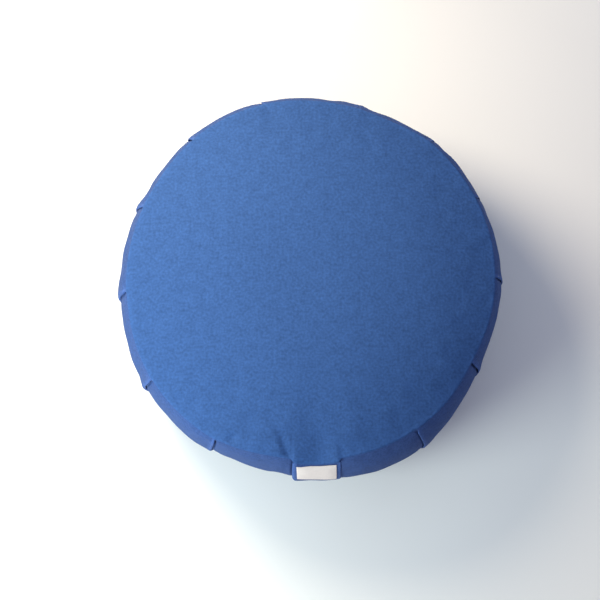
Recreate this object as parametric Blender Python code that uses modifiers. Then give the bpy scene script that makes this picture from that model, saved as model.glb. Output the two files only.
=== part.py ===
"""Round meditation cushion (zafu).

Two round panels and a pleated side band enclose a firm filling, and a blank tag is sewn on the front.
Metres, +Z up. The cushion stands on z = 0 with its middle over the origin and its tag towards -Y.
"""
from collections import namedtuple

import bmesh
import bpy
import numpy as np

MM = 0.001
GAP = 0.3 * MM

# Heights of the two seams and of the crown
BOTTOM_SEAM_Z = 20 * MM
TOP_SEAM_Z = 132 * MM
CROWN_Z = 158 * MM

# Radii: the seams, the widest part of the band and the flat patch that it stands on
SEAM_RADIUS = 161.5 * MM
BULGE_RADIUS = 174.1 * MM
FLOOR_RADIUS = 132 * MM

# How quickly the band turns outwards below its seam, and how flat the crown is in its middle
BAND_POWER = 2.6
CROWN_POWER = 2.7

# The pleats, anticlockwise from the tag's left. The angle is that of the folded edge at its widest level,
# seen from above with 0 at +X. "over" says which neighbour lies on top. lip is how far the folded edge
# stands proud and reach the width over which it rises. seam and bulge say how far the cushion is out of
# round there, at its seams and at its widest, belly how far the stretch up to the next pleat swells, and
# spread how far the folded edge draws back from the seams to the widest level. All but the angle are in mm.
Pleat = namedtuple("Pleat", "angle over lip reach seam bulge belly spread")
PLEATS = (
    Pleat(265.0, "after", 3.0, 44, -0.5, -4.0, 0.0, 0.5),
    Pleat(279.2, "before", 1.2, 44, -0.5, -0.8, 0.8, 1.5),
    Pleat(304.9, "after", 2.2, 30, 0.5, 2.0, 0.0, 3.0),
    Pleat(332.0, "after", 1.8, 18, -2.0, -3.8, -1.6, 3.0),
    Pleat(360.7, "after", 2.2, 24, 1.5, 0.0, 0.2, 3.0),
    Pleat(387.1, "after", 1.6, 20, 2.0, 0.2, 1.4, 3.0),
    Pleat(409.5, "after", 1.8, 18, 0.2, 0.0, -1.2, 2.0),
    Pleat(435.3, "after", 1.5, 20, -1.5, -1.5, 0.9, 2.0),
    Pleat(464.1, "before", 1.4, 24, 1.9, 1.2, 1.5, 2.0),
    Pleat(490.2, "before", 2.2, 30, 1.8, 1.0, -1.2, 2.0),
    Pleat(516.6, "before", 1.8, 20, 0.0, -0.8, 0.2, 1.5),
    Pleat(544.3, "before", 2.4, 20, 1.0, -1.5, 0.0, 3.5),
    Pleat(570.3, "before", 3.2, 20, 4.0, 0.0, 0.5, 7.5),
    Pleat(598.4, "before", 3.0, 74, 3.6, -3.2, -1.5, 4.0),
)
BELLY_AT_SEAM = 0.6
ARC_POINTS = 5

# The fold itself: how far the lower panel runs in under the lip, at the seams and at the widest part, and
# the share of the lip's height that stands open
TUCK_AT_SEAM = 8 * MM
TUCK_AT_BULGE = 5 * MM
LIP_OPENING = 0.38
LIP_EDGE = 1.2 * MM
PINCH_STEP = 1.2 * MM
PINCH_DEPTH = 5 * MM

# Shares of the band's height at which it is measured out, from the top seam to the bottom one
BAND_LEVELS = (0, 0.045, 0.1, 0.19, 0.29, 0.39, 0.5, 0.61, 0.71, 0.81, 0.9, 0.955, 1)

# Shares of the seam's radius at which the crown is measured out, and of the rise of the underside
CROWN_SHARES = (0.14, 0.3, 0.46, 0.62, 0.76, 0.87, 0.95, 0.99)
UNDERSIDE_SHARES = (0.97, 0.85, 0.65, 0.42, 0.2, 0)
UNDERSIDE_POWER = 1.8
PANEL_POINTS = 84
RIM_HEIGHT = 1.6 * MM
RIM_INSET = 0.994

# The tag, which lies on the short panel between the first two pleats
TAG_ANGLE = 271.8
TAG_WIDTH = 35 * MM
TAG_TOP_Z = 125.5 * MM
TAG_BOTTOM_Z = 87 * MM
TAG_THICKNESS = 1.2 * MM
TAG_GAP = 0.5 * MM
TAG_COLUMNS = 7
TAG_ROWS = 6


def clear_scene():
    for obj in list(bpy.data.objects):
        bpy.data.objects.remove(obj, do_unlink=True)


def make_material(name, colour, roughness):
    material = bpy.data.materials.new(name)
    material.use_nodes = True
    shader = material.node_tree.nodes["Principled BSDF"]
    shader.inputs["Base Color"].default_value = (*colour, 1)
    shader.inputs["Roughness"].default_value = roughness
    shader.inputs["Metallic"].default_value = 0
    return material


def smooth(share):
    """Ease from 0 to 1 as share goes from 0 to 1."""
    share = np.clip(share, 0, 1)
    return share * share * (3 - 2 * share)


def neighbours():
    """Each pleat with the next one round, whose angle is always the larger."""
    first = PLEATS[0]
    last = first._replace(angle=first.angle + 360)
    return list(zip(PLEATS, PLEATS[1:] + (last,)))


def between(at_seam, at_bulge, level):
    """A value at a level from 0, the top seam, to 1, the bottom seam."""
    return at_seam + (at_bulge - at_seam) * np.sin(np.pi * level)


def band_radius(level):
    """The band's plain radius: a flattened arch from seam to seam."""
    arch = 1 - np.abs(1 - 2 * level) ** BAND_POWER
    return SEAM_RADIUS + (BULGE_RADIUS - SEAM_RADIUS) * arch


def band_height(level):
    return TOP_SEAM_Z - GAP + (BOTTOM_SEAM_Z + 2 * GAP - TOP_SEAM_Z) * level


def openness(level):
    """0 where a seam pinches the pleat shut, 1 a little way from the seam."""
    from_seam = np.minimum(level, 1 - level) * (TOP_SEAM_Z - BOTTOM_SEAM_Z)
    return smooth(from_seam / PINCH_DEPTH)


def lip_height(pleat, level):
    return pleat.lip * MM * (0.25 + 0.75 * openness(level))


def fold_turn(pleat, level):
    """The angle in radians of the folded edge, which draws back towards its own panel between the seams."""
    forward = -1 if pleat.over == "after" else 1
    closed = 1 - np.sin(np.pi * level)
    return np.radians(pleat.angle) + forward * pleat.spread * MM * closed / BULGE_RADIUS


def panel_shape(start, end, level, share):
    """Angle in radians and radius across the panel between two pleats, for share from 0 to 1."""
    first = fold_turn(start, level)
    angle = first + (fold_turn(end, level) - first) * share
    width = BULGE_RADIUS * np.radians(end.angle - start.angle)
    swell = start.belly * np.sin(np.pi * share)
    seam = start.seam + (end.seam - start.seam) * smooth(share) + swell * BELLY_AT_SEAM
    bulge = start.bulge + (end.bulge - start.bulge) * smooth(share) + swell
    radius = band_radius(level) + between(seam, bulge, level) * MM
    if start.over == "after":
        radius = radius + lip_height(start, level) * (1 - smooth(share * width / (start.reach * MM)))
    if end.over == "before":
        radius = radius + lip_height(end, level) * (1 - smooth((1 - share) * width / (end.reach * MM)))
    return angle, radius


def fold_shape(pleat, level):
    """Five points round one fold, from the lower panel, in under the lip, out again and on to its top."""
    lower = band_radius(level) + between(pleat.seam, pleat.bulge, level) * MM
    lip = lip_height(pleat, level)
    tuck = between(TUCK_AT_SEAM, TUCK_AT_BULGE, level)
    open_along = np.array([-LIP_EDGE, tuck, LIP_EDGE, 0, LIP_EDGE])
    open_out = np.array([0, 0, LIP_OPENING, (LIP_OPENING + 1) / 2, 1]) * lip
    shut_along = np.array([-2, -1, 0, 1, 2]) * PINCH_STEP
    shut_out = np.array([0, 0.1, 0.3, 0.7, 1]) * lip
    share = openness(level)
    along = shut_along + (open_along - shut_along) * share
    out = shut_out + (open_out - shut_out) * share
    if pleat.over == "before":
        along = -along[::-1]
        out = out[::-1]
    return fold_turn(pleat, level) + along / lower, lower + out


def band_ring(level):
    """One closed outline of the pleated band, as an array of points."""
    shares = np.linspace(0, 1, ARC_POINTS + 2)[1:-1]
    angles = []
    radii = []
    for start, end in neighbours():
        for angle, radius in (fold_shape(start, level), panel_shape(start, end, level, shares)):
            angles.append(angle)
            radii.append(radius)
    angle = np.concatenate(angles)
    radius = np.concatenate(radii)
    height = np.full_like(angle, band_height(level))
    return np.column_stack([radius * np.cos(angle), radius * np.sin(angle), height])


def panel_ring(share, height):
    """One outline of a round panel: the seam's outline, brought in by share, at a height."""
    seam = band_ring(0)
    turn = np.linspace(0, 2 * np.pi, PANEL_POINTS, endpoint=False)
    seam_turn = np.arctan2(seam[:, 1], seam[:, 0])
    radius = share * np.interp(turn, seam_turn, np.hypot(seam[:, 0], seam[:, 1]), period=2 * np.pi)
    return np.column_stack([radius * np.cos(turn), radius * np.sin(turn), np.full_like(turn, height)])


def loft(rings, peak=None):
    """A closed body over rings that run from top to bottom. Its ends are flat, unless peak is the height of
    a middle point over the top ring."""
    bm = bmesh.new()
    rows = [[bm.verts.new(point) for point in ring] for ring in rings]
    around = [(i, (i + 1) % len(rings[0])) for i in range(len(rings[0]))]
    for upper, lower in zip(rows, rows[1:]):
        for i, j in around:
            bm.faces.new((upper[i], lower[i], lower[j], upper[j]))
    bm.faces.new(reversed(rows[-1]))
    if peak is None:
        bm.faces.new(rows[0])
        return bm
    middle = bm.verts.new((0, 0, peak))
    for i, j in around:
        bm.faces.new((middle, rows[0][i], rows[0][j]))
    return bm


def add_object(name, bm, material, collection):
    mesh = bpy.data.meshes.new(name)
    bm.to_mesh(mesh)
    bm.free()
    mesh.shade_smooth()
    mesh.materials.append(material)
    obj = bpy.data.objects.new(name, mesh)
    collection.objects.link(obj)
    return obj


def make_top_panel(material, collection):
    """The crowned round panel, with a low rim where it turns down into the seam."""
    base = TOP_SEAM_Z + RIM_HEIGHT
    rise = CROWN_Z - base
    rings = [panel_ring(share, base + rise * (1 - share ** CROWN_POWER)) for share in CROWN_SHARES]
    rings.append(panel_ring(1, TOP_SEAM_Z + RIM_HEIGHT / 2))
    rings.append(panel_ring(RIM_INSET, TOP_SEAM_Z))
    return add_object("top_panel", loft(rings, CROWN_Z), material, collection)


def make_side_band(material, collection):
    rings = [band_ring(level) for level in BAND_LEVELS]
    return add_object("side_band", loft(rings), material, collection)


def make_bottom_panel(material, collection):
    """The other round panel: flat on the floor, and rounded up to the bottom seam."""
    floor_share = FLOOR_RADIUS / SEAM_RADIUS
    rings = [panel_ring(RIM_INSET, BOTTOM_SEAM_Z), panel_ring(1, BOTTOM_SEAM_Z - RIM_HEIGHT / 2)]
    for share in UNDERSIDE_SHARES:
        height = (BOTTOM_SEAM_Z - RIM_HEIGHT) * share ** UNDERSIDE_POWER
        rings.append(panel_ring(floor_share + (1 - floor_share) * share, height))
    return add_object("bottom_panel", loft(rings), material, collection)


def make_tag(material, collection):
    """A blank woven tag: a sheet of even width that follows the short front panel, a little off it."""
    start, end = PLEATS[:2]
    bm = bmesh.new()
    rows = []
    for height in np.linspace(TAG_TOP_Z, TAG_BOTTOM_Z, TAG_ROWS):
        level = (TOP_SEAM_Z - height) / (TOP_SEAM_Z - BOTTOM_SEAM_Z)
        first = fold_turn(start, level)
        _, middle = panel_shape(start, end, level, 0.5)
        half = TAG_WIDTH / 2 / (middle + TAG_GAP + TAG_THICKNESS)
        columns = np.radians(TAG_ANGLE) + np.linspace(-half, half, TAG_COLUMNS)
        share = (columns - first) / (fold_turn(end, level) - first)
        angle, radius = panel_shape(start, end, level, share)
        radius = radius + TAG_GAP
        points = zip(radius * np.cos(angle), radius * np.sin(angle))
        rows.append([bm.verts.new((x, y, height)) for x, y in points])
    for upper, lower in zip(rows, rows[1:]):
        for i in range(TAG_COLUMNS - 1):
            bm.faces.new((upper[i], lower[i], lower[i + 1], upper[i + 1]))
    tag = add_object("tag", bm, material, collection)
    shell = tag.modifiers.new("thickness", "SOLIDIFY")
    shell.thickness = TAG_THICKNESS
    shell.offset = 1
    return tag


def main():
    clear_scene()
    collection = bpy.data.collections.new("zafu_cushion")
    bpy.context.scene.collection.children.link(collection)
    cotton = make_material("blue_cotton", (0.085, 0.17, 0.39), 0.9)
    tape = make_material("tag_tape", (0.72, 0.7, 0.67), 0.8)
    make_top_panel(cotton, collection)
    make_side_band(cotton, collection)
    make_bottom_panel(cotton, collection)
    make_tag(tape, collection)


main()
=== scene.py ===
"""The looks of a round meditation cushion: blue cotton over a firm filling, and a bare tag.

Every surface is a function of two parameters, worked out with numpy on a grid. Metres, +Z up.
The tag faces -Y, and angles are measured from +X, anticlockwise as seen from above.
"""

from collections import namedtuple

import bpy
import numpy as np
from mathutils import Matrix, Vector


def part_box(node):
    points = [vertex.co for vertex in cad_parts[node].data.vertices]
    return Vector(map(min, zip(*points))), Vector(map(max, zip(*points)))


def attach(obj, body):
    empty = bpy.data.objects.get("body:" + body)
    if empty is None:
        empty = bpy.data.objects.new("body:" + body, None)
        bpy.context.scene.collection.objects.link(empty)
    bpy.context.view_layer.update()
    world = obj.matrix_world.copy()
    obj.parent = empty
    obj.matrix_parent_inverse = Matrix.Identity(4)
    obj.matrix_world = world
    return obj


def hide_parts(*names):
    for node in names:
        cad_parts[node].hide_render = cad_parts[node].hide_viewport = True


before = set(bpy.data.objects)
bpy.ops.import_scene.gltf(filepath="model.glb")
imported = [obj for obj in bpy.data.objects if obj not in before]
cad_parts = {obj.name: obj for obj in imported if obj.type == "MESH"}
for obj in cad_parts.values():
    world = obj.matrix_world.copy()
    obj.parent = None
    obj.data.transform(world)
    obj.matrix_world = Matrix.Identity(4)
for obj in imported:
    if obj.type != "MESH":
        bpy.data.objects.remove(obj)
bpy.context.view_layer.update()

MM = 0.001
TURN = 2 * np.pi

# ---------------------------------------------------------------- sizes that the frame gives
BOTTOM_SEAM_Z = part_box("bottom_panel")[1][2]
TOP_SEAM_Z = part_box("top_panel")[0][2]
CROWN_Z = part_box("top_panel")[1][2]
BAND_TOP_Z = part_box("side_band")[1][2]
BAND_BOTTOM_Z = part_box("side_band")[0][2]
BAND_TALL = BAND_TOP_Z - BAND_BOTTOM_Z

# ---------------------------------------------------------------- the cushion's own sizes
SEAM_RADIUS = 161.5 * MM
BULGE_RADIUS = 174.1 * MM
FLOOR_RADIUS = 132 * MM
BAND_POWER = 2.6
CROWN_POWER = 2.7

# The pleats, anticlockwise from the tag's left, in mm and degrees:
#   angle   of the folded edge at its widest level
#   over    the panel that lies on top: the one before the fold or the one after it, going anticlockwise
#   lip     how far the folded edge stands proud
#   reach   the width over which the panel on top rises to its edge
#   seam    how far the cushion is out of round at the fold, at its seams
#   bulge   the same at the widest level
#   belly   how far the stretch up to the next pleat swells at its widest level
#   bow     how far that stretch stands out at its seams
#   gape    how far the folded edge stands open, in the upper half
#   groove  how deep the cloth dives in front of it, in the upper half
#   slope   how far the face of the fold leans, from its edge to its foot
#   spread  how far the edge is ahead at the seams of where it is at the widest level
#   lean    how far the edge leans forward at the top and back at the bottom
#   flat    how nearly the stretch up to the next pleat runs straight across, from 0 to 1
#   held    the share of the lip that stands proud at the seams, over 1 where that is more than below
Pleat = namedtuple(
    "Pleat", "angle over lip reach seam bulge belly bow gape groove slope spread lean flat held",
    defaults=(0.0, 0.0, 0.25))
PLEATS = (
    Pleat(264.8, "after", 4.0, 44, -0.3, -4.0, 0.0, 0.5, 0.3, 0.4, 1.6, 0.5, flat=0.6, held=0.85),
    Pleat(278.7, "before", 0.9, 44, 0.2, -0.3, 1.6, 0.3, 0.05, 0.0, 1.6, 1.5, held=3.6),
    Pleat(305.3, "after", 1.6, 18, 1.4, 1.8, 0.2, 1.0, 0.35, 0.6, 0.6, 3.0),
    Pleat(332.6, "after", 1.5, 12, -1.2, -4.6, -1.4, 0.5, 0.5, 1.7, 0.3, 3.0),
    Pleat(360.8, "after", 1.6, 14, 1.7, -1.1, -0.7, 0.6, 0.4, 0.6, 0.5, 3.0),
    Pleat(387.1, "after", 0.6, 12, 2.0, -0.9, -0.4, 0.0, 0.3, 0.4, 0.0, 3.0),
    Pleat(409.4, "after", 0.6, 16, 1.8, 0.8, -2.8, -1.8, 0.1, 0.0, 0.3, 2.0),
    Pleat(435.3, "after", 0.25, 12, -1.3, -0.6, -1.4, -0.2, 0.1, 0.1, 0.0, 2.0),
    Pleat(464.8, "before", 0.8, 16, 1.9, 1.5, 0.3, 0.8, 0.3, 0.5, 0.3, 2.0),
    Pleat(489.8, "before", 1.9, 26, 1.8, 0.0, -2.6, -0.6, 0.35, 0.6, 0.5, 2.0),
    Pleat(516.6, "before", 2.0, 24, 0.0, -2.0, -0.6, 0.1, 0.15, 0.1, 1.2, 1.5),
    Pleat(543.7, "before", 2.7, 24, 1.0, -2.0, 0.0, 0.2, 0.1, 0.1, 2.4, 3.5),
    Pleat(571.4, "before", 2.8, 12, 4.0, 0.0, 0.8, 0.5, 0.25, 0.8, 1.8, 5.0, lean=2.0),
    Pleat(598.7, "before", 2.8, 60, 3.6, -4.0, -1.5, -0.8, 0.2, 0.5, 1.2, 1.2, lean=3.6),
)

# The fold: how far the lower panel runs in under the lip, how far the fold's section reaches to either side,
# where the seam's pinch lets go, the groove in front of the lip, and the rolled edge along each seam
TUCK_AT_SEAM = 9 * MM
TUCK_AT_BULGE = 6 * MM
RUN_IN = 4 * MM
PINCH_DEPTH = 5 * MM
GROOVE_WIDE = 1.8 * MM
FOLD_GAP = 0.15 * MM
EDGE_ROLL = 1.3 * MM

# The gape and the groove fade out from this level over this much of the height. The gape is at most this
# share of the lip, and its underside comes out as this power. The slope has this share left at the seams.
GAPE_FADES_AT = 0.35
GAPE_FADES_OVER = 0.3
GAPE_LIMIT = 0.62
GAPE_POWER = 0.8
SLOPE_AT_SEAM = 0.25

# The points of a fold's section, stretch by stretch: along the lower panel into the groove, in under the
# lip, back out below it, round its edge (as angles) and on over its top
FOOT_SHARES = np.array([0, 0.3, 0.5, 0.62, 0.72, 0.82, 0.91, 1.0])
TUCK_SHARES = np.array([0.15, 0.5, 1.0])
BELOW_LIP_SHARES = np.linspace(0.08, 1, 8)
EDGE_ANGLES = np.linspace(-np.pi / 2, np.pi / 2, 10)[1:]
TOP_SHARES = np.linspace(0.3, 1, 3)
FACE_COLUMNS = len(EDGE_ANGLES) + len(TOP_SHARES)
FOLD_COLUMNS = len(FOOT_SHARES) + len(TUCK_SHARES) + len(BELOW_LIP_SHARES) + FACE_COLUMNS

# A fold that is pressed shut is a step, which rises in the middle third of its section
STEP_SPAN = (-1, 2)

# Where the upper seam hangs down: the angle in degrees, how far in mm, and how far round in degrees, and the
# power by which the sag fades on the way down the band
SAGS = ((318, 4.0, 42), (271.7, 7.5, 8))
SAG_FADE_POWER = 1.5

# Soft waves: their length is drawn between these shares of the length asked for, and their sum is divided
# by this. Each set gives the length, how many waves are added up, and the seed of the draws.
RIPPLE_LENGTHS = (0.7, 1.6)
RIPPLE_DIVISOR = 1.4
BAND_CUT_WAVES = (25 * MM, 6, 7)
PANEL_CUT_WAVES = (26 * MM, 6, 19)
BAND_SWELL_WAVES = (60 * MM, 7, 5)
CROWN_SWELL_WAVES = (90 * MM, 7, 11)
TAG_WAVES = (22 * MM, 5, 23)

# Broad, shallow swells, how far from the seams they are whole, and how far from them the creases are
BAND_SWELL = 0.25 * MM
BAND_SWELL_CLEAR = 15 * MM
CROWN_SWELL = 0.35 * MM
CROWN_SWELL_CLEAR = 20 * MM
CREASE_CLEAR = 2 * MM

# How finely the surfaces are measured out, how much the band's rows crowd towards its seams, and where rows
# are added on its rolled edges, as shares of the roll
PANEL_COLUMNS = 30
BAND_ROWS = 78
ROW_CROWDING = 0.6
ROLL_SHARES = np.array([0.04, 0.14, 0.3, 0.52, 0.8])
DISC_COLUMNS = 540
DISC_ROWS = 110


def smooth(share):
    """Ease from 0 to 1: three times the square of the share less twice its cube."""
    share = np.clip(share, 0, 1)
    return share * share * (3 - 2 * share)


def rolled(distance, width):
    """How far a rounded edge has fallen away: a quarter circle of the width, level after that width."""
    share = np.clip(1 - distance / width, 0, 1)
    return width * (1 - np.sqrt(1 - share * share))


def ripples(across, along, wavelength, count, seed):
    """Soft uneven waves between about -1 and 1: a sum of sines in seeded directions, lengths and phases."""
    draw = np.random.default_rng(seed)
    total = np.zeros(np.broadcast(across, along).shape)
    for _ in range(count):
        heading = draw.uniform(0, TURN)
        size = wavelength * draw.uniform(*RIPPLE_LENGTHS)
        phase = draw.uniform(0, TURN)
        total = total + np.sin(TURN * (across * np.cos(heading) + along * np.sin(heading)) / size + phase)
    return total / count ** 0.5 / RIPPLE_DIVISOR


# ---------------------------------------------------------------- the pleated band
def neighbours():
    """Each pleat with the next one round, whose angle is always the larger."""
    first = PLEATS[0]
    return list(zip(PLEATS, PLEATS[1:] + (first._replace(angle=first.angle + 360),)))


def between(at_seam, at_bulge, level):
    """A value that goes from the seam's to the bulge's and back as half a sine wave over the level."""
    return at_seam + (at_bulge - at_seam) * np.sin(np.pi * level)


def seam_sag(turn):
    """How far the upper seam hangs below its plain height: a bell round each place in the table."""
    total = np.zeros(np.shape(turn))
    for middle, depth, span in SAGS:
        off = np.angle(np.exp(1j * (turn - np.radians(middle))))
        total = total + depth * MM * np.exp(-(off / np.radians(span)) ** 2)
    return total


def band_height(level, turn):
    """Even steps from the top seam to the bottom one, less the upper seam's sag, which fades on the way."""
    return BAND_TOP_Z - BAND_TALL * level - seam_sag(turn) * (1 - level) ** SAG_FADE_POWER


def seam_distance(level):
    """How far down the nearer seam is, as a height."""
    return np.minimum(level, 1 - level) * BAND_TALL


def band_radius(level):
    """The band's plain radius: an arch from seam to seam, which is one less a power of the distance from its
    middle."""
    arch = 1 - np.abs(1 - 2 * level) ** BAND_POWER
    return SEAM_RADIUS + (BULGE_RADIUS - SEAM_RADIUS) * arch


def lip_height(pleat, level):
    """How proud the folded edge stands: its held share of the lip at the seams, eased to all of it where
    the pinch lets go."""
    return pleat.lip * MM * (pleat.held + (1 - pleat.held) * smooth(seam_distance(level) / PINCH_DEPTH))


def fold_turn(pleat, level):
    """The angle of the folded edge: it draws back onto its own panel, from the seams to the widest level,
    by half a sine wave, and leans by half a cosine wave."""
    forward = -1 if pleat.over == "after" else 1
    ahead = pleat.spread * (1 - np.sin(np.pi * level)) + pleat.lean * np.cos(np.pi * level)
    return np.radians(pleat.angle) + forward * ahead * MM / BULGE_RADIUS


def panel_section(start, end, level, share):
    """Angle and radius across the stretch between two pleats: the out-of-round values eased from one pleat
    to the next, half a sine of belly and of bow, the drop from the arc to its chord if it is flat, and each
    folded edge on top eased down over its reach."""
    width = BULGE_RADIUS * np.radians(end.angle - start.angle)
    to_chord = start.flat * width * width / (2 * BULGE_RADIUS) * share * (1 - share)
    first = fold_turn(start, level)
    angle = first + (fold_turn(end, level) - first) * share
    arc = np.sin(np.pi * share)
    seam = start.seam + (end.seam - start.seam) * smooth(share) + start.bow * arc
    bulge = start.bulge + (end.bulge - start.bulge) * smooth(share) + start.belly * arc
    radius = band_radius(level) + between(seam, bulge, level) * MM - to_chord
    if start.over == "after":
        radius = radius + lip_height(start, level) * (1 - smooth(share * width / (start.reach * MM)))
    if end.over == "before":
        radius = radius + lip_height(end, level) * (1 - smooth((1 - share) * width / (end.reach * MM)))
    return angle, radius


def open_fold(pleat, level, lip):
    """How far along and out the points of one fold are: along the lower panel, down its groove and in under
    the lip, back out along the lip's underside, round its edge as a half circle and on over its top. The
    gape and the groove fade out round the widest level. The lower a point lies against the lip, the more the
    slope carries it forwards."""
    tuck = between(TUCK_AT_SEAM, TUCK_AT_BULGE, level)
    open_above = 1 - smooth((level - GAPE_FADES_AT) / GAPE_FADES_OVER)
    gape = np.minimum(pleat.gape * MM * open_above, GAPE_LIMIT * lip)
    edge = (lip - gape) / 2
    along = np.hstack([
        RUN_IN * (FOOT_SHARES - 1) + 0 * tuck,
        tuck * TUCK_SHARES,
        tuck + (edge - tuck) * BELOW_LIP_SHARES,
        edge - edge * np.cos(EDGE_ANGLES),
        edge + (RUN_IN - edge) * TOP_SHARES,
    ])
    deep = pleat.groove * MM * open_above + FOLD_GAP
    out = np.hstack([
        -deep * smooth(1 + RUN_IN * (FOOT_SHARES - 1) / GROOVE_WIDE),
        -deep * np.ones(len(TUCK_SHARES)),
        (gape + deep) * BELOW_LIP_SHARES ** GAPE_POWER - deep,
        gape + edge + edge * np.sin(EDGE_ANGLES),
        lip + 0 * TOP_SHARES,
    ])
    out[:, -FACE_COLUMNS:] -= lip * smooth(along[:, -FACE_COLUMNS:] / (pleat.reach * MM))
    carried = np.concatenate([FOOT_SHARES, np.ones(FOLD_COLUMNS - len(FOOT_SHARES))])
    slope = pleat.slope * MM * between(SLOPE_AT_SEAM, 1, level)
    return along - slope * carried * (1 - np.clip(out / lip, 0, 1)), out


def shut_fold(pleat, lip):
    """The same points where the fold is pressed shut: a step, whose top eases down over its reach."""
    along = np.linspace(-RUN_IN, RUN_IN, FOLD_COLUMNS)
    rise = smooth(np.linspace(*STEP_SPAN, FOLD_COLUMNS))
    return along, lip * rise * (1 - smooth(np.maximum(along, 0) / (pleat.reach * MM)))


def fold_section(pleat, level):
    """Angle and radius round one fold, which the seams press shut and which opens where their pinch lets go.
    A fold with the panel before it on top is the mirror image of the others."""
    lower = band_radius(level) + between(pleat.seam, pleat.bulge, level) * MM
    lip = lip_height(pleat, level)
    along, out = open_fold(pleat, level, lip)
    shut_along, shut_out = shut_fold(pleat, lip)
    share = smooth(seam_distance(level) / PINCH_DEPTH)
    along = shut_along + (along - shut_along) * share
    out = shut_out + (out - shut_out) * share
    if pleat.over == "before":
        along = -along[:, ::-1]
        out = out[:, ::-1]
    return fold_turn(pleat, level) + along / lower, lower + out


def band_sections(level):
    """The whole outline at each level: angle and radius, one row a level."""
    sections = []
    for start, end in neighbours():
        inset = np.degrees(RUN_IN / BULGE_RADIUS) / (end.angle - start.angle)
        share = np.linspace(inset, 1 - inset, PANEL_COLUMNS + 2)[None, 1:-1]
        sections.append(fold_section(start, level))
        sections.append(panel_section(start, end, level, share))
    angle = np.hstack([section[0] for section in sections])
    radius = np.hstack([section[1] for section in sections])
    return angle, radius


def band_levels():
    """Levels from the top seam to the bottom one, closer together near the seams and on the rolled edges."""
    even = np.linspace(0, 1, BAND_ROWS)
    eased = even - ROW_CROWDING * np.sin(TURN * even) / TURN
    edge = ROLL_SHARES * EDGE_ROLL / BAND_TALL
    levels = np.concatenate([eased, edge, 1 - edge])
    return np.sort(levels)[:, None]


def seam_outline(turn):
    """The seam's radius at each angle, read off the band's outline at its upper edge."""
    angle, radius = band_sections(np.zeros((1, 1)))
    return np.interp(turn, angle[0] % TURN, radius[0], period=TURN)


# ---------------------------------------------------------------- meshes
def add_piece(name, points, corners, counts, cloth, edge, material):
    """A mesh from arrays: its points, each face's corners end to end, the cloth's own coordinates at the
    corners, and how much each point is lightened as a worn edge with a painted highlight, from 0 to 1."""
    mesh = bpy.data.meshes.new(name)
    mesh.vertices.add(len(points))
    mesh.vertices.foreach_set("co", points.astype(np.float32).ravel())
    mesh.loops.add(len(corners))
    mesh.loops.foreach_set("vertex_index", corners.astype(np.int32))
    mesh.polygons.add(len(counts))
    starts = np.concatenate([[0], np.cumsum(counts)[:-1]])
    mesh.polygons.foreach_set("loop_start", starts.astype(np.int32))
    mesh.update(calc_edges=True)
    layer = mesh.uv_layers.new(name="cloth")
    layer.data.foreach_set("uv", cloth.astype(np.float32).ravel())
    mark = mesh.attributes.new("edge", "FLOAT", "POINT")
    mark.data.foreach_set("value", edge.astype(np.float32).ravel())
    mesh.shade_smooth()
    mesh.materials.append(material)
    mesh.validate()
    piece = bpy.data.objects.new(name, mesh)
    bpy.context.scene.collection.objects.link(piece)
    return piece


def ring_quads(rows, columns):
    """The four corners of every face of a grid whose rows are closed rings."""
    row, column = np.meshgrid(np.arange(rows - 1), np.arange(columns), indexing="ij")
    beside = (column + 1) % columns
    return np.stack([row * columns + column, (row + 1) * columns + column,
                     (row + 1) * columns + beside, row * columns + beside], axis=-1).reshape(-1, 4)


def add_round_piece(name, grid, cloth, edge, poles, material):
    """A closed body over a grid whose rows are rings from top to bottom. Each end is a fan to a pole, and
    the cloth's coordinates have one more column than the grid, where the ring closes."""
    rows, columns = grid.shape[:2]
    row, column = np.meshgrid(np.arange(rows - 1), np.arange(columns), indexing="ij")
    quads = ring_quads(rows, columns)
    quad_cloth = np.stack([cloth[row, column], cloth[row + 1, column],
                           cloth[row + 1, column + 1], cloth[row, column + 1]], axis=2).reshape(-1, 2)
    ring = np.arange(columns)
    after = (ring + 1) % columns
    last = (rows - 1) * columns
    top = rows * columns
    top_fan = np.stack([np.full(columns, top), ring, after], axis=-1)
    bottom_fan = np.stack([np.full(columns, top + 1), last + after, last + ring], axis=-1)
    middle = np.zeros((columns, 2))
    top_cloth = np.stack([middle, cloth[0, :-1], cloth[0, 1:]], axis=1).reshape(-1, 2)
    bottom_cloth = np.stack([middle, cloth[-1, 1:], cloth[-1, :-1]], axis=1).reshape(-1, 2)
    points = np.vstack([grid.reshape(-1, 3), poles])
    corners = np.concatenate([quads.ravel(), top_fan.ravel(), bottom_fan.ravel()])
    counts = np.concatenate([np.full(len(quads), 4), np.full(2 * columns, 3)])
    edge = np.concatenate([edge.ravel(), [0, 0]])
    cloth = np.vstack([quad_cloth, top_cloth, bottom_cloth])
    return add_piece(name, points, corners, counts, cloth, edge, material)


# ---------------------------------------------------------------- creases, from Blender's cloth simulation
# A trial ring's columns and frames, the frame by which it is drawn in, the filling's pressure, how stiff the
# cloth is, how unevenly it is cut, and the width from which a swell doesn't count as a crease
TRIAL_COLUMNS = 252
TRIAL_FRAMES = 22
DRAWN_IN_BY = 10
PRESSURE = 8
BENDING_STIFFNESS = 12
CUT_UNEVEN = 0.5 * MM
BROADEST_CREASE = 80 * MM


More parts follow.
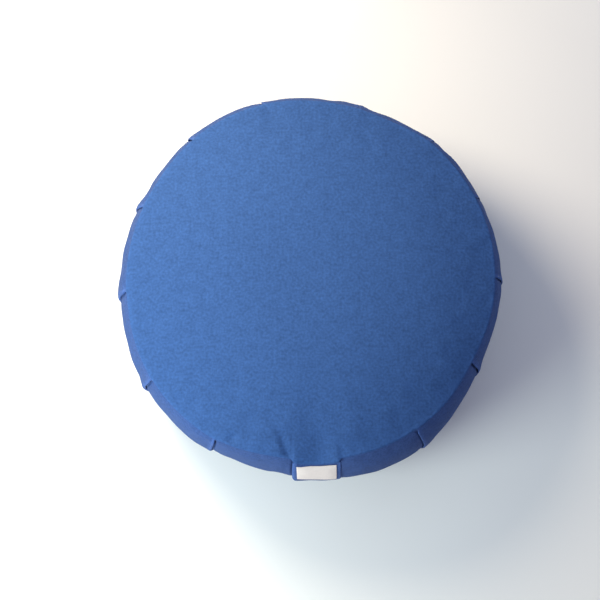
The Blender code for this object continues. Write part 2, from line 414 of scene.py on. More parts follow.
def blown_out(cut, sewn, held, pressure):
    """A ring of cloth that starts as it is cut, is drawn in at its held points to where they are sewn, and
    is pressed outwards by the filling. Gives back where its points come to rest."""
    scene = bpy.context.scene
    mesh = bpy.data.meshes.new("trial_cloth")
    mesh.from_pydata(cut.reshape(-1, 3), [], ring_quads(*cut.shape[:2]))
    trial = bpy.data.objects.new("trial_cloth", mesh)
    scene.collection.objects.link(trial)
    trial.shape_key_add(name="cut")
    sewn_shape = trial.shape_key_add(name="sewn")
    sewn_shape.data.foreach_set("co", sewn.astype(np.float32).ravel())
    for value, number in ((0, 1), (1, DRAWN_IN_BY)):
        sewn_shape.value = value
        sewn_shape.keyframe_insert("value", frame=number)
    trial.vertex_groups.new(name="held").add(np.flatnonzero(held).tolist(), 1, "REPLACE")
    cloth = trial.modifiers.new("cloth", "CLOTH")
    settings = cloth.settings
    settings.vertex_group_mass = "held"
    settings.effector_weights.gravity = 0
    settings.use_pressure = True
    settings.uniform_pressure_force = pressure
    settings.bending_stiffness = BENDING_STIFFNESS
    cloth.point_cache.frame_end = TRIAL_FRAMES
    for number in range(1, TRIAL_FRAMES + 1):
        scene.frame_set(number)
    settled = trial.evaluated_get(bpy.context.evaluated_depsgraph_get()).data
    points = np.empty(cut.size, dtype=np.float32)
    settled.vertices.foreach_get("co", points)
    action = mesh.shape_keys.animation_data.action
    bpy.data.objects.remove(trial)
    bpy.data.meshes.remove(mesh)
    bpy.data.actions.remove(action)
    scene.frame_set(1)
    return points.reshape(cut.shape).astype(float)


def creases(cut, sewn, held, outward, pressure, cap):
    """How far the settled cloth stands off its sewn shape. The swells that are broader than a crease are
    taken out as the lowest waves round the ring, because the shape already has them. A hyperbolic tangent
    keeps the rest within the cap."""
    off = ((blown_out(cut, sewn, held, pressure) - sewn) * outward).sum(axis=-1)
    waves = np.fft.rfft(off, axis=1)
    waves[:, :int(TURN * SEAM_RADIUS / BROADEST_CREASE)] = 0
    return cap * np.tanh(np.fft.irfft(waves, off.shape[1], axis=1) / cap)


def spline_weights(share):
    """The four weights of a cubic B-spline at a share of the way between its middle two points."""
    rest = 1 - share
    return (rest ** 3 / 6, (3 * share ** 3 - 6 * share ** 2 + 4) / 6,
            (3 * rest ** 3 - 6 * rest ** 2 + 4) / 6, share ** 3 / 6)


def read_off(values, turn, row):
    """Values of a ring-shaped grid at any angle and row, by B-spline weights on 4 by 4 of its points."""
    rows, columns = values.shape
    column = (turn % TURN) / TURN * columns
    first_row = np.floor(row).astype(int)
    first_column = np.floor(column).astype(int)
    total = 0
    for down, down_weight in enumerate(spline_weights(row - first_row)):
        for beside, beside_weight in enumerate(spline_weights(column - first_column)):
            at_row = np.clip(first_row + down - 1, 0, rows - 1)
            at_column = (first_column + beside - 1) % columns
            total = total + down_weight * beside_weight * values[at_row, at_column]
    return total


def trial_turns():
    """The angles of a trial ring's points, evenly round."""
    return np.arange(TRIAL_COLUMNS) * TURN / TRIAL_COLUMNS


def ring_points(radius, turn, height):
    """Points at a radius, an angle and a height, each of which may be a grid, a row or a number."""
    radius, turn, height = np.broadcast_arrays(radius, turn, height)
    return np.stack([radius * np.cos(turn), radius * np.sin(turn), height], axis=-1)


def profile_length(radius, height):
    """The length run down a profile up to each of its points."""
    steps = np.hypot(np.diff(radius, axis=0), np.diff(height, axis=0))
    return np.concatenate([[[0.0]], np.cumsum(steps, axis=0)])


# The band's trial: its rows, its spare width as a share, the most that a crease may stand off, and how the
# wear and painted highlight of a folded edge fade out over its top
BAND_TRIAL_ROWS = 34
BAND_EASE = 0.03
BAND_CREASE_CAP = 0.8 * MM
WEAR_AND_HIGHLIGHT_FADE = (0.7, 0.4, 0.15)


def band_creases():
    """The band is cut as wide as its widest part wherever it is, so it has cloth to spare at its seams, less
    towards its middle by half a sine. The seams and the folded edges are held."""
    level = np.linspace(0, 1, BAND_TRIAL_ROWS)[:, None]
    turn = trial_turns()
    radius = band_radius(level)
    height = BAND_TOP_Z - BAND_TALL * level
    length = profile_length(radius, height)
    ease = 1 + BAND_EASE * (1 - np.sin(np.pi * level))
    unrolled = BAND_TOP_Z + (length[-1] - BAND_TALL) / 2 - length
    uneven = CUT_UNEVEN * ripples(turn * BULGE_RADIUS, unrolled, *BAND_CUT_WAVES)
    cut = ring_points(radius * ease + uneven, turn, unrolled)
    held = np.zeros(cut.shape[:2], dtype=bool)
    held[[0, -1]] = True
    angles = np.radians([pleat.angle for pleat in PLEATS])
    held[:, np.round(angles / TURN * TRIAL_COLUMNS).astype(int) % TRIAL_COLUMNS] = True
    outward = ring_points(1, turn, 0 * level)
    return creases(cut, ring_points(radius, turn, height), held, outward, PRESSURE, BAND_CREASE_CAP)


def path_length(points, axis):
    """The length run along the grid up to each point, from 0."""
    steps = np.linalg.norm(np.diff(points, axis=axis), axis=2)
    start = np.zeros_like(np.take(steps, [0], axis=axis))
    return np.concatenate([start, np.cumsum(steps, axis=axis)], axis=axis)


def band_wear_and_highlight(angle):
    """How much each point of the band is lightened as a worn edge with a painted highlight: all of it round
    the lip of each fold, fading out over the lip's top. A fold with the panel before it on top has its
    section the other way round."""
    # The folded lips are marked to be lightened: wear and a painted highlight where the edges catch the light
    lip = np.zeros(FOLD_COLUMNS)
    lip[-FACE_COLUMNS:] = 1
    lip[-len(WEAR_AND_HIGHLIGHT_FADE):] = WEAR_AND_HIGHLIGHT_FADE
    marks = []
    for pleat in PLEATS:
        marks.append(lip if pleat.over == "after" else lip[::-1])
        marks.append(np.zeros(PANEL_COLUMNS))
    return np.broadcast_to(np.concatenate(marks), angle.shape)


def band_relief(lifts, angle, level):
    """The simulated creases and a few broad, shallow swells, which both die out towards the seams."""
    seam = seam_distance(level)
    trial_row = np.broadcast_to(level * (BAND_TRIAL_ROWS - 1), angle.shape)
    swell = BAND_SWELL * ripples(angle * BULGE_RADIUS, level * BAND_TALL, *BAND_SWELL_WAVES)
    crease = read_off(lifts, angle, trial_row)
    return crease * smooth(seam / CREASE_CLEAR) + swell * smooth(seam / BAND_SWELL_CLEAR)


def make_band(lifts, material):
    """The pleated strip, as rings of the band's outline from the top seam to the bottom one, with its creases
    and swells along its radius and its edges rolled over into the seams."""
    level = band_levels()
    angle, radius = band_sections(level)
    height = band_height(level, angle)
    radius = radius + band_relief(lifts, angle, level) - rolled(seam_distance(level), EDGE_ROLL)
    grid = ring_points(radius, angle, height)
    middle = grid[len(grid) // 2]
    strip = np.concatenate([middle, middle[:1]])[None]
    along = np.broadcast_to(path_length(strip, 1), (len(grid), strip.shape[1]))
    down = path_length(grid[:, :1], 0)
    cloth = np.stack([along, np.broadcast_to(-down, along.shape)], axis=-1)
    poles = np.array([[0, 0, BAND_TOP_Z], [0, 0, BAND_BOTTOM_Z]])
    edge = band_wear_and_highlight(angle)
    return add_round_piece("pleated_band", grid, cloth, edge, poles, material)


# ---------------------------------------------------------------- the two round panels
# Soft hollows that the seam pulls into the top panel, in degrees and mm: the angle of the outer end and its
# distance from the middle, the length that it runs inwards, its half width, its depth, and how far it leans
# off the radius
Pull = namedtuple("Pull", "angle radius length width depth lean")
PULLS = (
    Pull(262.7, 156.8, 30, 3.5, 1.8, 29),
    Pull(244.6, 161, 10, 4.0, 1.2, 6),
    Pull(223.8, 160, 9, 4.5, 0.8, -8),
    Pull(285.5, 161, 14, 3.6, 0.5, 20),
    Pull(304.5, 159, 10, 3.2, 0.5, 0),
    Pull(104.5, 158, 20, 5.0, 0.9, 8),
    Pull(131.0, 159, 12, 4.0, 0.5, -6),
    Pull(352.0, 159, 14, 4.0, 0.4, 12),
)


# How fast a hollow is eased out before its outer end and towards its inner one, and how far from the seam
# it is whole
PULL_OUTER = 4
PULL_INNER = 1.4
PULL_CLEAR = 3 * MM


def pulled(x, y):
    """How deep the hollows are at each point: each is a bell across its line, eased out at both ends."""
    depth = np.zeros(x.shape)
    for pull in PULLS:
        turn = np.radians(pull.angle)
        heading = turn + np.pi + np.radians(pull.lean)
        run_x = x - pull.radius * MM * np.cos(turn)
        run_y = y - pull.radius * MM * np.sin(turn)
        along = (run_x * np.cos(heading) + run_y * np.sin(heading)) / (pull.length * MM)
        across = (run_y * np.cos(heading) - run_x * np.sin(heading)) / (pull.width * MM)
        window = smooth(along * PULL_OUTER + 1) * smooth((1 - along) * PULL_INNER)
        depth = depth + pull.depth * MM * window * np.exp(-across * across)
    return depth


# The round panels: the rows of their trial rings, how late they take on the seam's outline, their innermost
# ring, the rings with which they are turned in, and how much and how widely their edges are lightened, as
# wear and a painted highlight along the seam
DISC_TRIAL_ROWS = 34
OUTLINE_POWER = 12
INNERMOST_SHARE = 0.012
TURNED_IN_SHARES = np.array([0.99, 0.6, 0.05])
PANEL_WEAR_AND_HIGHLIGHT = 0.5
PANEL_WEAR_AND_HIGHLIGHT_WIDE = 2.5 * MM


def disc_creases(shares, heights, ease, side, cap):
    """The outer part of a round panel, cut flat and a little too wide at its edge, which the seam draws in.
    The spare width grows as the square of the share. Its inner and outer rings are held."""
    turn = trial_turns()
    radius = shares * SEAM_RADIUS
    flat = radius[0] + profile_length(radius, heights)
    flat = flat * (1 + ease * (shares / shares[-1]) ** 2)
    uneven = side * CUT_UNEVEN * ripples(flat * np.cos(turn), flat * np.sin(turn), *PANEL_CUT_WAVES)
    cut = ring_points(flat, turn, heights[-1] + uneven)
    held = np.zeros(cut.shape[:2], dtype=bool)
    held[[0, -1]] = True
    outward = np.array([0, 0, side])
    return creases(cut, ring_points(radius, turn, heights), held, outward, side * PRESSURE, cap)


def disc_grid(shares):
    """Rings at each share of the way out, which take on the seam's outline as a high power of the share: x,
    y and the distance in from the seam."""
    turn = np.linspace(0, TURN, DISC_COLUMNS, endpoint=False)
    outline = seam_outline(turn)
    shares = shares[:, None]
    radius = shares * SEAM_RADIUS + (outline - SEAM_RADIUS) * shares ** OUTLINE_POWER
    return radius * np.cos(turn), radius * np.sin(turn), outline - radius


def disc_cloth(x, y):
    """A round panel's cloth lies square to the room, so its coordinates are x and y."""
    flat = np.stack([x, y], axis=-1)
    return np.concatenate([flat, flat[:, :1]], axis=1)


def disc_shares():
    """Shares of the seam's radius from near the middle to the seam, closer together at the seam."""
    even = np.linspace(INNERMOST_SHARE, 1, DISC_ROWS)
    eased = np.sin(even * np.pi / 2)
    return eased / eased[-1]


# The crown's trial: the share of the radius from which it is free, its spare width, the most that a crease
# may stand off and the share over which it comes in, and how late the crown takes on the seam's sag
CROWN_HELD_SHARE = 0.6
CROWN_EASE = 0.01
CROWN_CREASE_CAP = 0.22 * MM
CROWN_CREASE_FADE = 0.2
SAG_POWER = 5


def crown_height(share):
    """One less a power of the share, times the crown's rise above its rolled edge."""
    return TOP_SEAM_Z + EDGE_ROLL + (CROWN_Z - TOP_SEAM_Z - EDGE_ROLL) * (1 - share ** CROWN_POWER)


def crown_creases(x, y, share):
    """The simulated creases of the crown at the points given, from the held ring outwards."""
    trial = np.linspace(CROWN_HELD_SHARE, 1, DISC_TRIAL_ROWS)[:, None]
    lifts = disc_creases(trial, crown_height(trial), CROWN_EASE, 1, CROWN_CREASE_CAP)
    row = np.clip((share - CROWN_HELD_SHARE) / (1 - CROWN_HELD_SHARE), 0, 1) * (DISC_TRIAL_ROWS - 1)
    fade = smooth((share - CROWN_HELD_SHARE) / CROWN_CREASE_FADE)
    return read_off(lifts, np.arctan2(y, x), np.broadcast_to(row, x.shape)) * fade


def make_crown(material):
    """The top panel: the crown's height, less the hollows, the sag of its seam and the roll of its edge,
    with the simulated creases and a few broad, shallow swells. It is turned in under itself."""
    x, y, inward = disc_grid(disc_shares())
    share = disc_shares()[:, None]
    z = crown_height(share) - pulled(x, y) * smooth(inward / PULL_CLEAR)
    z = z - seam_sag(np.arctan2(y, x)) * share ** SAG_POWER
    z = z + CROWN_SWELL * smooth(inward / CROWN_SWELL_CLEAR) * ripples(x, y, *CROWN_SWELL_WAVES)
    z = z + crown_creases(x, y, share) * smooth(inward / CREASE_CLEAR) - rolled(inward, EDGE_ROLL)
    under_x, under_y, _ = disc_grid(TURNED_IN_SHARES)
    under_z = TOP_SEAM_Z - seam_sag(np.arctan2(under_y, under_x)) * TURNED_IN_SHARES[:, None]
    x = np.vstack([x, under_x])
    y = np.vstack([y, under_y])
    grid = np.stack([x, y, np.vstack([z, under_z])], axis=-1)
    poles = np.array([[0, 0, z[0].mean()], [0, 0, TOP_SEAM_Z]])
    # The edge along the seam is marked to be lightened: wear and a painted highlight
    edge = np.vstack([PANEL_WEAR_AND_HIGHLIGHT * np.exp(-inward / PANEL_WEAR_AND_HIGHLIGHT_WIDE), 0 * under_x])
    return add_round_piece("crown", grid, disc_cloth(x, y), edge, poles, material)


# The underside's trial, how fast its creases come in off the floor, and the power by which it climbs
UNDERSIDE_EASE = 0.02
UNDERSIDE_CREASE_CAP = 1.0 * MM
UNDERSIDE_CREASE_GROWTH = 2.5
UNDERSIDE_POWER = 1.8
FLOOR_SHARE = FLOOR_RADIUS / SEAM_RADIUS


def underside_height(share):
    """Flat on the floor as far as its weight presses it, and then up to the seam as a power of the way."""
    climb = np.clip((share - FLOOR_SHARE) / (1 - FLOOR_SHARE), 0, 1)
    return (BOTTOM_SEAM_Z - EDGE_ROLL) * climb ** UNDERSIDE_POWER


def make_underside(material):
    """The bottom panel: its height, with the simulated creases where it is off the floor, rolled up into
    the seam at its edge."""
    upper_x, upper_y, _ = disc_grid(TURNED_IN_SHARES[::-1])
    shares = disc_shares()[::-1]
    share = shares[:, None]
    x, y, inward = disc_grid(shares)
    trial = np.linspace(FLOOR_SHARE, 1, DISC_TRIAL_ROWS // 2)[:, None]
    lifts = disc_creases(trial, underside_height(trial), UNDERSIDE_EASE, -1, UNDERSIDE_CREASE_CAP)
    way = np.clip((share - FLOOR_SHARE) / (1 - FLOOR_SHARE), 0, 1)
    row = np.broadcast_to(way * (len(trial) - 1), x.shape)
    fade = smooth(way * UNDERSIDE_CREASE_GROWTH)
    depth = read_off(lifts, np.arctan2(y, x), row) * fade * smooth(inward / CREASE_CLEAR)
    z = np.maximum(underside_height(share) - depth, 0) + rolled(inward, EDGE_ROLL)
    x = np.vstack([upper_x, x])
    y = np.vstack([upper_y, y])
    grid = np.stack([x, y, np.vstack([np.full(upper_x.shape, BOTTOM_SEAM_Z), z])], axis=-1)
    poles = np.array([[0, 0, BOTTOM_SEAM_Z], [0, 0, 0]])
    # The edge along the seam is marked to be lightened: wear and a painted highlight
    edge = np.vstack([0 * upper_x, PANEL_WEAR_AND_HIGHLIGHT * np.exp(-inward / PANEL_WEAR_AND_HIGHLIGHT_WIDE)])
    return add_round_piece("underside", grid, disc_cloth(x, y), edge, poles, material)


# ---------------------------------------------------------------- the tag
TAG_ANGLE = 271.9
TAG_TOP_LEVEL = 0.025
TAG_BOTTOM_LEVEL = 0.415
TAG_WIDE = 35 * MM
TAG_TALL = 40 * MM
TAG_THICK = 0.4 * MM
TAG_GAP = 0.15 * MM
TAG_LOOSE = 0.25 * MM
# How widely the tag's borders are lightened: wear and a painted highlight
TAG_WEAR_AND_HIGHLIGHT_WIDE = 1.2 * MM
TAG_COLUMNS = 60
TAG_ROWS = 60

# How far up in mm the tag's upper edge wanders, at shares of the way across, and the share of that which
# is gone at its lower edge
TAG_WANDER_ACROSS = (0, 0.12, 0.24, 0.36, 0.48, 0.6, 0.72, 0.84, 1)
TAG_WANDER = (-1.2, -0.8, 0.3, 0.9, 0.3, 0, -0.4, -1.9, -4.3)
TAG_WANDER_FADE = 0.5


def tag_surface(lifts, across, down):
    """A point of the tag's back: across and down from 0 to 1, laid on the creased short front panel, with
    uneven waves that lift it between its sides. Its upper edge wanders up and down, its lower edge half as
    much."""
    start, end = PLEATS[:2]
    wander = np.interp(across, TAG_WANDER_ACROSS, TAG_WANDER) * MM * (1 - TAG_WANDER_FADE * down)
    level = TAG_TOP_LEVEL + (TAG_BOTTOM_LEVEL - TAG_TOP_LEVEL) * down - wander / BAND_TALL
    _, middle = panel_section(start, end, level, 0.5)
    turn = np.radians(TAG_ANGLE) + (across - 0.5) * TAG_WIDE / middle
    first = fold_turn(start, level)
    share = (turn - first) / (fold_turn(end, level) - first)
    _, radius = panel_section(start, end, level, share)
    loose = np.sin(np.pi * across) * (1 + ripples(across * TAG_WIDE, down * TAG_TALL, *TAG_WAVES)) / 2
    radius = radius + band_relief(lifts, turn, level) + TAG_GAP + TAG_LOOSE * loose
    return ring_points(radius, turn, band_height(level, turn))


def make_tag(lifts, material):
    """The bare tag: a sheet of tape on a grid, given its thickness outwards."""
    across, down = np.meshgrid(np.linspace(0, 1, TAG_COLUMNS), np.linspace(0, 1, TAG_ROWS))
    grid = tag_surface(lifts, across, down)
    row, column = np.meshgrid(np.arange(TAG_ROWS - 1), np.arange(TAG_COLUMNS - 1), indexing="ij")
    first = (row * TAG_COLUMNS + column).ravel()
    quads = np.stack([first, first + TAG_COLUMNS, first + TAG_COLUMNS + 1, first + 1], axis=-1)
    cloth = np.stack([across * TAG_WIDE, -down * TAG_TALL], axis=-1).reshape(-1, 2)[quads.ravel()]
    border = np.minimum(np.minimum(across, 1 - across) * TAG_WIDE, np.minimum(down, 1 - down) * TAG_TALL)
    # The tag's borders are marked to be lightened: wear and a painted highlight
    edge = np.exp(-border / TAG_WEAR_AND_HIGHLIGHT_WIDE)
    counts = np.full(len(quads), 4)
    tag = add_piece("woven_tag", grid.reshape(-1, 3), quads.ravel(), counts, cloth, edge, material)
    shell = tag.modifiers.new("thickness", "SOLIDIFY")
    shell.thickness = TAG_THICK
    shell.offset = 1
    return tag


# ---------------------------------------------------------------- materials
# A woven cloth: its roughness and gloss, its threads and its patches of uneven dye per metre, how strongly
# the painted shade in the dips of its weave, its threads, its patches and the wear and painted highlight of
# its edges change the colour, how strong its relief is, and how much its patches add to that
Look = namedtuple(
    "Look", "roughness gloss threads patches relief_shade thread_shade mottle_shade wear_shade bump slubs")
COTTON = Look(roughness=0.8, gloss=0.1, threads=1800.0, patches=110.0, relief_shade=0.25, thread_shade=0.35,
              mottle_shade=0.95, wear_shade=0.35, bump=0.5, slubs=0.6)
TAPE = Look(roughness=0.8, gloss=0.3, threads=2600.0, patches=90.0, relief_shade=0.12, thread_shade=0.08,
            mottle_shade=0.08, wear_shade=0.04, bump=0.5, slubs=0.3)
PANEL_BLUE = (0.0325, 0.085, 0.245)
# The band's blue is the panels' blue made more violet: a painted sheen of the same cloth seen edge-on
BAND_BLUE_WITH_PAINTED_SHEEN = (0.042, 0.085, 0.245)
TAPE_WHITE = (0.82, 0.72, 0.68)

# The weave, in threads: how closely and how far the threads wander off straight, a thread's middle height
# and how far it rises and dips from it, how far apart in a noise the shades of two threads and of the two
# directions are taken, and how far on they move per thread crossed
WANDER_PER_METRE = 260.0
WANDER_WIDE = 1.6
THREAD_LEVEL = 0.55
THREAD_LIFT = 0.45
SHADE_STEP = 7.31
SHADE_OFFSET = 71.0
SHADE_ALONG = 0.06

# The patches, and the uneven rubbing of an edge's wear and painted highlight, which goes from its least up
# to that and its range
FINER_BY = 4.0
COARSE_SHARE = 0.33
FINE_SHARE = 0.67
RUBS_PER_METRE = 300.0
RUB_LEAST = 0.4
RUB_RANGE = 1.2

# The middle of a noise and of the weave's height, about which the weave's painted shade is lighter on the
# threads' tops and darker in the dips, how far the roughness goes from thread to thread, and the relief's
# depth as a share of a thread's width
NOISE_MIDDLE = 0.5
WEAVE_MIDDLE = 0.6
ROUGHNESS_RANGE = 0.12
RELIEF_DEPTH = 0.35


def place_node(tree, kind, feeds=None, **settings):
    """A node with its settings. Each input named or numbered is fed by a socket or set to a value."""
    node = tree.nodes.new(kind)
    for name, value in settings.items():
        setattr(node, name, value)
    for entry, source in (feeds or {}).items():
        if isinstance(source, bpy.types.NodeSocket):
            tree.links.new(source, node.inputs[entry])
        else:
            node.inputs[entry].default_value = source
    return node


def sum_up(tree, operation, *terms):
    """The output of a Math node on one, two or three sockets or numbers."""
    return place_node(tree, "ShaderNodeMath", dict(enumerate(terms)), operation=operation).outputs[0]


def new_group(name, inputs, outputs):
    """An empty node group with its sockets named, and the nodes that its inputs and outputs pass through."""
    tree = bpy.data.node_groups.new(name, "ShaderNodeTree")
    for title, kind in inputs:
        tree.interface.new_socket(title, in_out="INPUT", socket_type=kind)
    for title in outputs:
        tree.interface.new_socket(title, in_out="OUTPUT", socket_type="NodeSocketFloat")
    return tree, tree.nodes.new("NodeGroupInput").outputs, tree.nodes.new("NodeGroupOutput").inputs


def noise(tree, place, scale, detail=2.0, roughness=0.5):
    """The value of a Noise Texture node, whose middle is a half."""
    feeds = {"Vector": place, "Scale": scale, "Detail": detail, "Roughness": roughness}
    return place_node(tree, "ShaderNodeTexNoise", feeds).outputs["Fac"]


def make_plain_weave():
    """Plain weave on the cloth's own coordinates: across each thread its height is half a cosine, and along
    it the thread rises and dips as a sine, over one crossing thread and under the next. The threads wander
    off straight by a noise, and each has a shade of its own, which changes slowly along it."""
    inputs = (("Cloth", "NodeSocketVector"), ("Threads per metre", "NodeSocketFloat"))
    tree, given, result = new_group("plain_weave", inputs, ("Height", "Thread shade"))
    wander = noise(tree, given["Cloth"], WANDER_PER_METRE)
    drift = sum_up(tree, "MULTIPLY_ADD", wander, WANDER_WIDE, -WANDER_WIDE / 2)
    parts = place_node(tree, "ShaderNodeSeparateXYZ", {0: given["Cloth"]}).outputs
    across = sum_up(tree, "MULTIPLY_ADD", parts[0], given["Threads per metre"], drift)
    along = sum_up(tree, "MULTIPLY_ADD", parts[1], given["Threads per metre"], drift)
    heights = []
    shades = []
    threads = ((across, along, THREAD_LIFT, 0.0), (along, across, -THREAD_LIFT, SHADE_OFFSET))
    for here, there, lift, offset in threads:
        number = sum_up(tree, "FLOOR", here)
        from_middle = sum_up(tree, "SUBTRACT", sum_up(tree, "FRACT", here), 0.5)
        thickness = sum_up(tree, "COSINE", sum_up(tree, "MULTIPLY", from_middle, np.pi))
        phase = sum_up(tree, "MULTIPLY", sum_up(tree, "ADD", there, number), np.pi)
        wave = sum_up(tree, "MULTIPLY_ADD", sum_up(tree, "SINE", phase), lift, THREAD_LEVEL)
        heights.append(sum_up(tree, "MULTIPLY", thickness, wave))
        stretch = place_node(tree, "ShaderNodeCombineXYZ", {
            0: sum_up(tree, "MULTIPLY_ADD", number, SHADE_STEP, offset),
            1: sum_up(tree, "MULTIPLY", there, SHADE_ALONG)}).outputs[0]
        shades.append(noise(tree, stretch, 1.0))
    height = sum_up(tree, "MAXIMUM", *heights)
    weft_on_top = sum_up(tree, "GREATER_THAN", heights[1], heights[0])
    shade = place_node(tree, "ShaderNodeMix", {0: weft_on_top, 2: shades[0], 3: shades[1]}).outputs[0]
    tree.links.new(height, result["Height"])
    tree.links.new(shade, result["Thread shade"])


def make_soft_mottle():
    """Uneven dyeing and wear in patches: a third of a coarse noise and two thirds of a finer one."""
    inputs = (("Cloth", "NodeSocketVector"), ("Patches per metre", "NodeSocketFloat"))
    tree, given, result = new_group("soft_mottle", inputs, ("Mottle",))
    fine_scale = sum_up(tree, "MULTIPLY", given["Patches per metre"], FINER_BY)
    coarse = noise(tree, given["Cloth"], given["Patches per metre"])
    fine = noise(tree, given["Cloth"], fine_scale, detail=1.0)
    both = sum_up(tree, "MULTIPLY_ADD", fine, FINE_SHARE, sum_up(tree, "MULTIPLY", coarse, COARSE_SHARE))
    tree.links.new(both, result["Mottle"])


def make_wear_and_edge_highlight():
    """How much each place is lightened as a rubbed edge with a painted highlight: the piece's own edge mark
    times a noise, so that it is uneven.
    """
    inputs = (("Cloth", "NodeSocketVector"), ("Edge", "NodeSocketFloat"))
    tree, given, result = new_group("wear_and_edge_highlight", inputs, ("Wear",))
    uneven = noise(tree, given["Cloth"], RUBS_PER_METRE, detail=3.0)
    rubbed = sum_up(tree, "MULTIPLY_ADD", uneven, RUB_RANGE, RUB_LEAST)
    tree.links.new(sum_up(tree, "MULTIPLY", given["Edge"], rubbed), result["Wear"])


def shade_of(tree, colour, *changes):
    """The colour made lighter or darker: each change is a socket, the value at which it does nothing, and
    how strongly it acts."""
    factor = 1.0
    for socket, level, strength in changes:
        change = sum_up(tree, "MULTIPLY_ADD", socket, strength, 1 - level * strength)
        factor = sum_up(tree, "MULTIPLY", factor, change)
    scaled = place_node(tree, "ShaderNodeVectorMath", {0: colour, "Scale": factor}, operation="SCALE")
    return scaled.outputs[0]


def make_cloth_material(name, colour, look):
    """A woven cloth: the painted shade of its weave's dips, its patches, and the wear and painted highlight
    of its edges change its colour, its threads its roughness, and its weave and patches its relief."""
    material = bpy.data.materials.new(name)
    material.use_nodes = True
    tree = material.node_tree
    shader = tree.nodes["Principled BSDF"]
    shader.inputs["Specular IOR Level"].default_value = look.gloss
    cloth = place_node(tree, "ShaderNodeUVMap", uv_map="cloth").outputs[0]
    edge = place_node(tree, "ShaderNodeAttribute", attribute_name="edge").outputs["Fac"]
    weave = place_node(tree, "ShaderNodeGroup", node_tree=bpy.data.node_groups["plain_weave"])
    mottle = place_node(tree, "ShaderNodeGroup", node_tree=bpy.data.node_groups["soft_mottle"])
    wear_and_highlight = place_node(tree, "ShaderNodeGroup", node_tree=bpy.data.node_groups["wear_and_edge_highlight"])
    for group in (weave, mottle, wear_and_highlight):
        tree.links.new(cloth, group.inputs["Cloth"])
    weave.inputs["Threads per metre"].default_value = look.threads
    mottle.inputs["Patches per metre"].default_value = look.patches
    tree.links.new(edge, wear_and_highlight.inputs["Edge"])
    # The colour is darker in the weave's dips and lighter on its threads' tops, as painted shade, and lighter
    # at the marked edges, as wear and a painted highlight
    tint = shade_of(tree, (*colour,),
                    (weave.outputs["Height"], WEAVE_MIDDLE, look.relief_shade),
                    (weave.outputs["Thread shade"], NOISE_MIDDLE, look.thread_shade),
                    (mottle.outputs["Mottle"], NOISE_MIDDLE, look.mottle_shade),
                    (wear_and_highlight.outputs["Wear"], 0.0, look.wear_shade))
    tree.links.new(tint, shader.inputs["Base Color"])
    rough = sum_up(tree, "MULTIPLY_ADD", weave.outputs["Thread shade"], ROUGHNESS_RANGE,
                   look.roughness - ROUGHNESS_RANGE / 2)
    tree.links.new(rough, shader.inputs["Roughness"])
    height = sum_up(tree, "MULTIPLY_ADD", mottle.outputs["Mottle"], look.slubs, weave.outputs["Height"])
    bump = place_node(tree, "ShaderNodeBump", {
        "Strength": look.bump, "Distance": RELIEF_DEPTH / look.threads, "Height": height})
    tree.links.new(bump.outputs[0], shader.inputs["Normal"])
    return material


FLOOR_COLOUR = (0.86, 0.85, 0.83)
FLOOR_ROUGHNESS = 0.9
FLOOR_PATCHES = 3.0
FLOOR_SHADE = 0.03


def make_floor_material():
    """Plain pale paper, a touch uneven."""
    material = bpy.data.materials.new("studio_floor")
    material.use_nodes = True
    tree = material.node_tree
    shader = tree.nodes["Principled BSDF"]
    shader.inputs["Roughness"].default_value = FLOOR_ROUGHNESS
    place = place_node(tree, "ShaderNodeTexCoord").outputs["Object"]
    tint = shade_of(tree, FLOOR_COLOUR, (noise(tree, place, FLOOR_PATCHES), NOISE_MIDDLE, FLOOR_SHADE))
    tree.links.new(tint, shader.inputs["Base Color"])
    return material


# ---------------------------------------------------------------- studio
# The view: the picture's side in pixels, the camera's distance in metres, its tilt in degrees and the height
# that it looks at, its focal length and the picture's middle in pixels, and the width of its film in mm
PICTURE = 600
VIEW_DISTANCE = 1.6
VIEW_TILT = 10.5
VIEW_TARGET_Z = 79 * MM
FOCAL_PIXELS = 1754
MIDDLE_PIXEL = (310.4, 288.0)
SENSOR = 36.0

# The sky's light and the lights: the name, the colour, the place and the watts of each. They are tinted so
# that the cloth's blues come out as in the photograph.
SKY_COLOUR = (0.96, 1, 1.28, 1)
SKY_STRENGTH = 0.325
LIGHTS = (
    ("key_light", (1.12, 1, 0.79), (-0.3, 0.3, 0.524), 4.8),
    ("front_light", (0.87, 1, 0.95), (-0.397, -0.357, 0.38), 3.5),
    ("back_light", (0.8, 1, 1.1), (0.3, 0.3, 0.5), 0.36),
)
LIGHT_WIDE = 0.35
LIGHTS_AIM = (0, 0, 0.08)
FLOOR_WIDE = 8


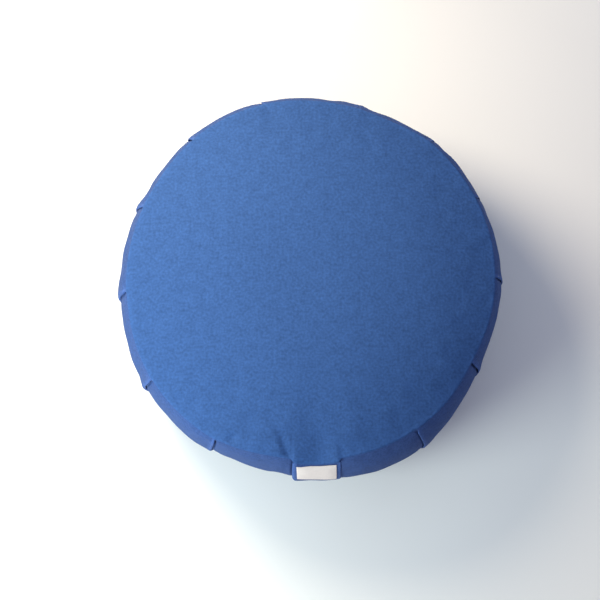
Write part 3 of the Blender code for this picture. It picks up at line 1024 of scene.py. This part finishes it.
def add_camera():
    """A long lens above the cushion, tilted towards its front, framed as the photograph is."""
    data = bpy.data.cameras.new("camera")
    data.sensor_width = SENSOR
    data.lens = FOCAL_PIXELS / PICTURE * SENSOR
    data.shift_x = (PICTURE / 2 - MIDDLE_PIXEL[0]) / PICTURE
    data.shift_y = (MIDDLE_PIXEL[1] - PICTURE / 2) / PICTURE
    camera = bpy.data.objects.new("camera", data)
    tilt = np.radians(VIEW_TILT)
    camera.location = (0, -VIEW_DISTANCE * np.sin(tilt), VIEW_TARGET_Z + VIEW_DISTANCE * np.cos(tilt))
    camera.rotation_euler = (tilt, 0, 0)
    bpy.context.scene.collection.objects.link(camera)
    bpy.context.scene.camera = camera


def add_light(name, colour, place, watts):
    """A round soft light that shines on the cushion and isn't seen itself."""
    data = bpy.data.lights.new(name, "AREA")
    data.color = colour
    data.shape = "DISK"
    data.size = LIGHT_WIDE
    data.energy = watts
    light = bpy.data.objects.new(name, data)
    light.location = place
    light.rotation_euler = (Vector(LIGHTS_AIM) - Vector(place)).to_track_quat("-Z", "Y").to_euler()
    light.visible_camera = False
    bpy.context.scene.collection.objects.link(light)


def add_studio():
    """An even sky, the lights and a pale floor."""
    world = bpy.data.worlds.new("studio")
    world.use_nodes = True
    sky = world.node_tree.nodes["Background"].inputs
    sky["Color"].default_value = SKY_COLOUR
    sky["Strength"].default_value = SKY_STRENGTH
    bpy.context.scene.world = world
    bpy.context.scene.view_settings.view_transform = "Standard"
    for light in LIGHTS:
        add_light(*light)
    bpy.ops.mesh.primitive_plane_add(size=FLOOR_WIDE)
    floor = bpy.context.object
    floor.name = "floor"
    floor.data.materials.append(make_floor_material())


def dress(piece, node):
    """Hang the piece on the root body and hide the solid that it stands for."""
    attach(piece, "root")
    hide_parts(node)


def main():
    """The shared node groups first, because the materials use them, then the pieces and the studio."""
    make_plain_weave()
    make_soft_mottle()
    make_wear_and_edge_highlight()
    cotton = make_cloth_material("blue_cotton", PANEL_BLUE, COTTON)
    # The band and the underside take the more violet blue: a painted sheen
    band_cotton_painted_sheen = make_cloth_material("blue_band_cotton_painted_sheen", BAND_BLUE_WITH_PAINTED_SHEEN, COTTON)
    lifts = band_creases()
    crown = make_crown(cotton)
    band = make_band(lifts, band_cotton_painted_sheen)
    underside = make_underside(band_cotton_painted_sheen)
    for piece, node in ((crown, "top_panel"), (band, "side_band"), (underside, "bottom_panel")):
        dress(piece, node)
    tag = make_tag(lifts, make_cloth_material("tag_tape", TAPE_WHITE, TAPE))
    dress(tag, "tag")
    add_studio()
    add_camera()


main()
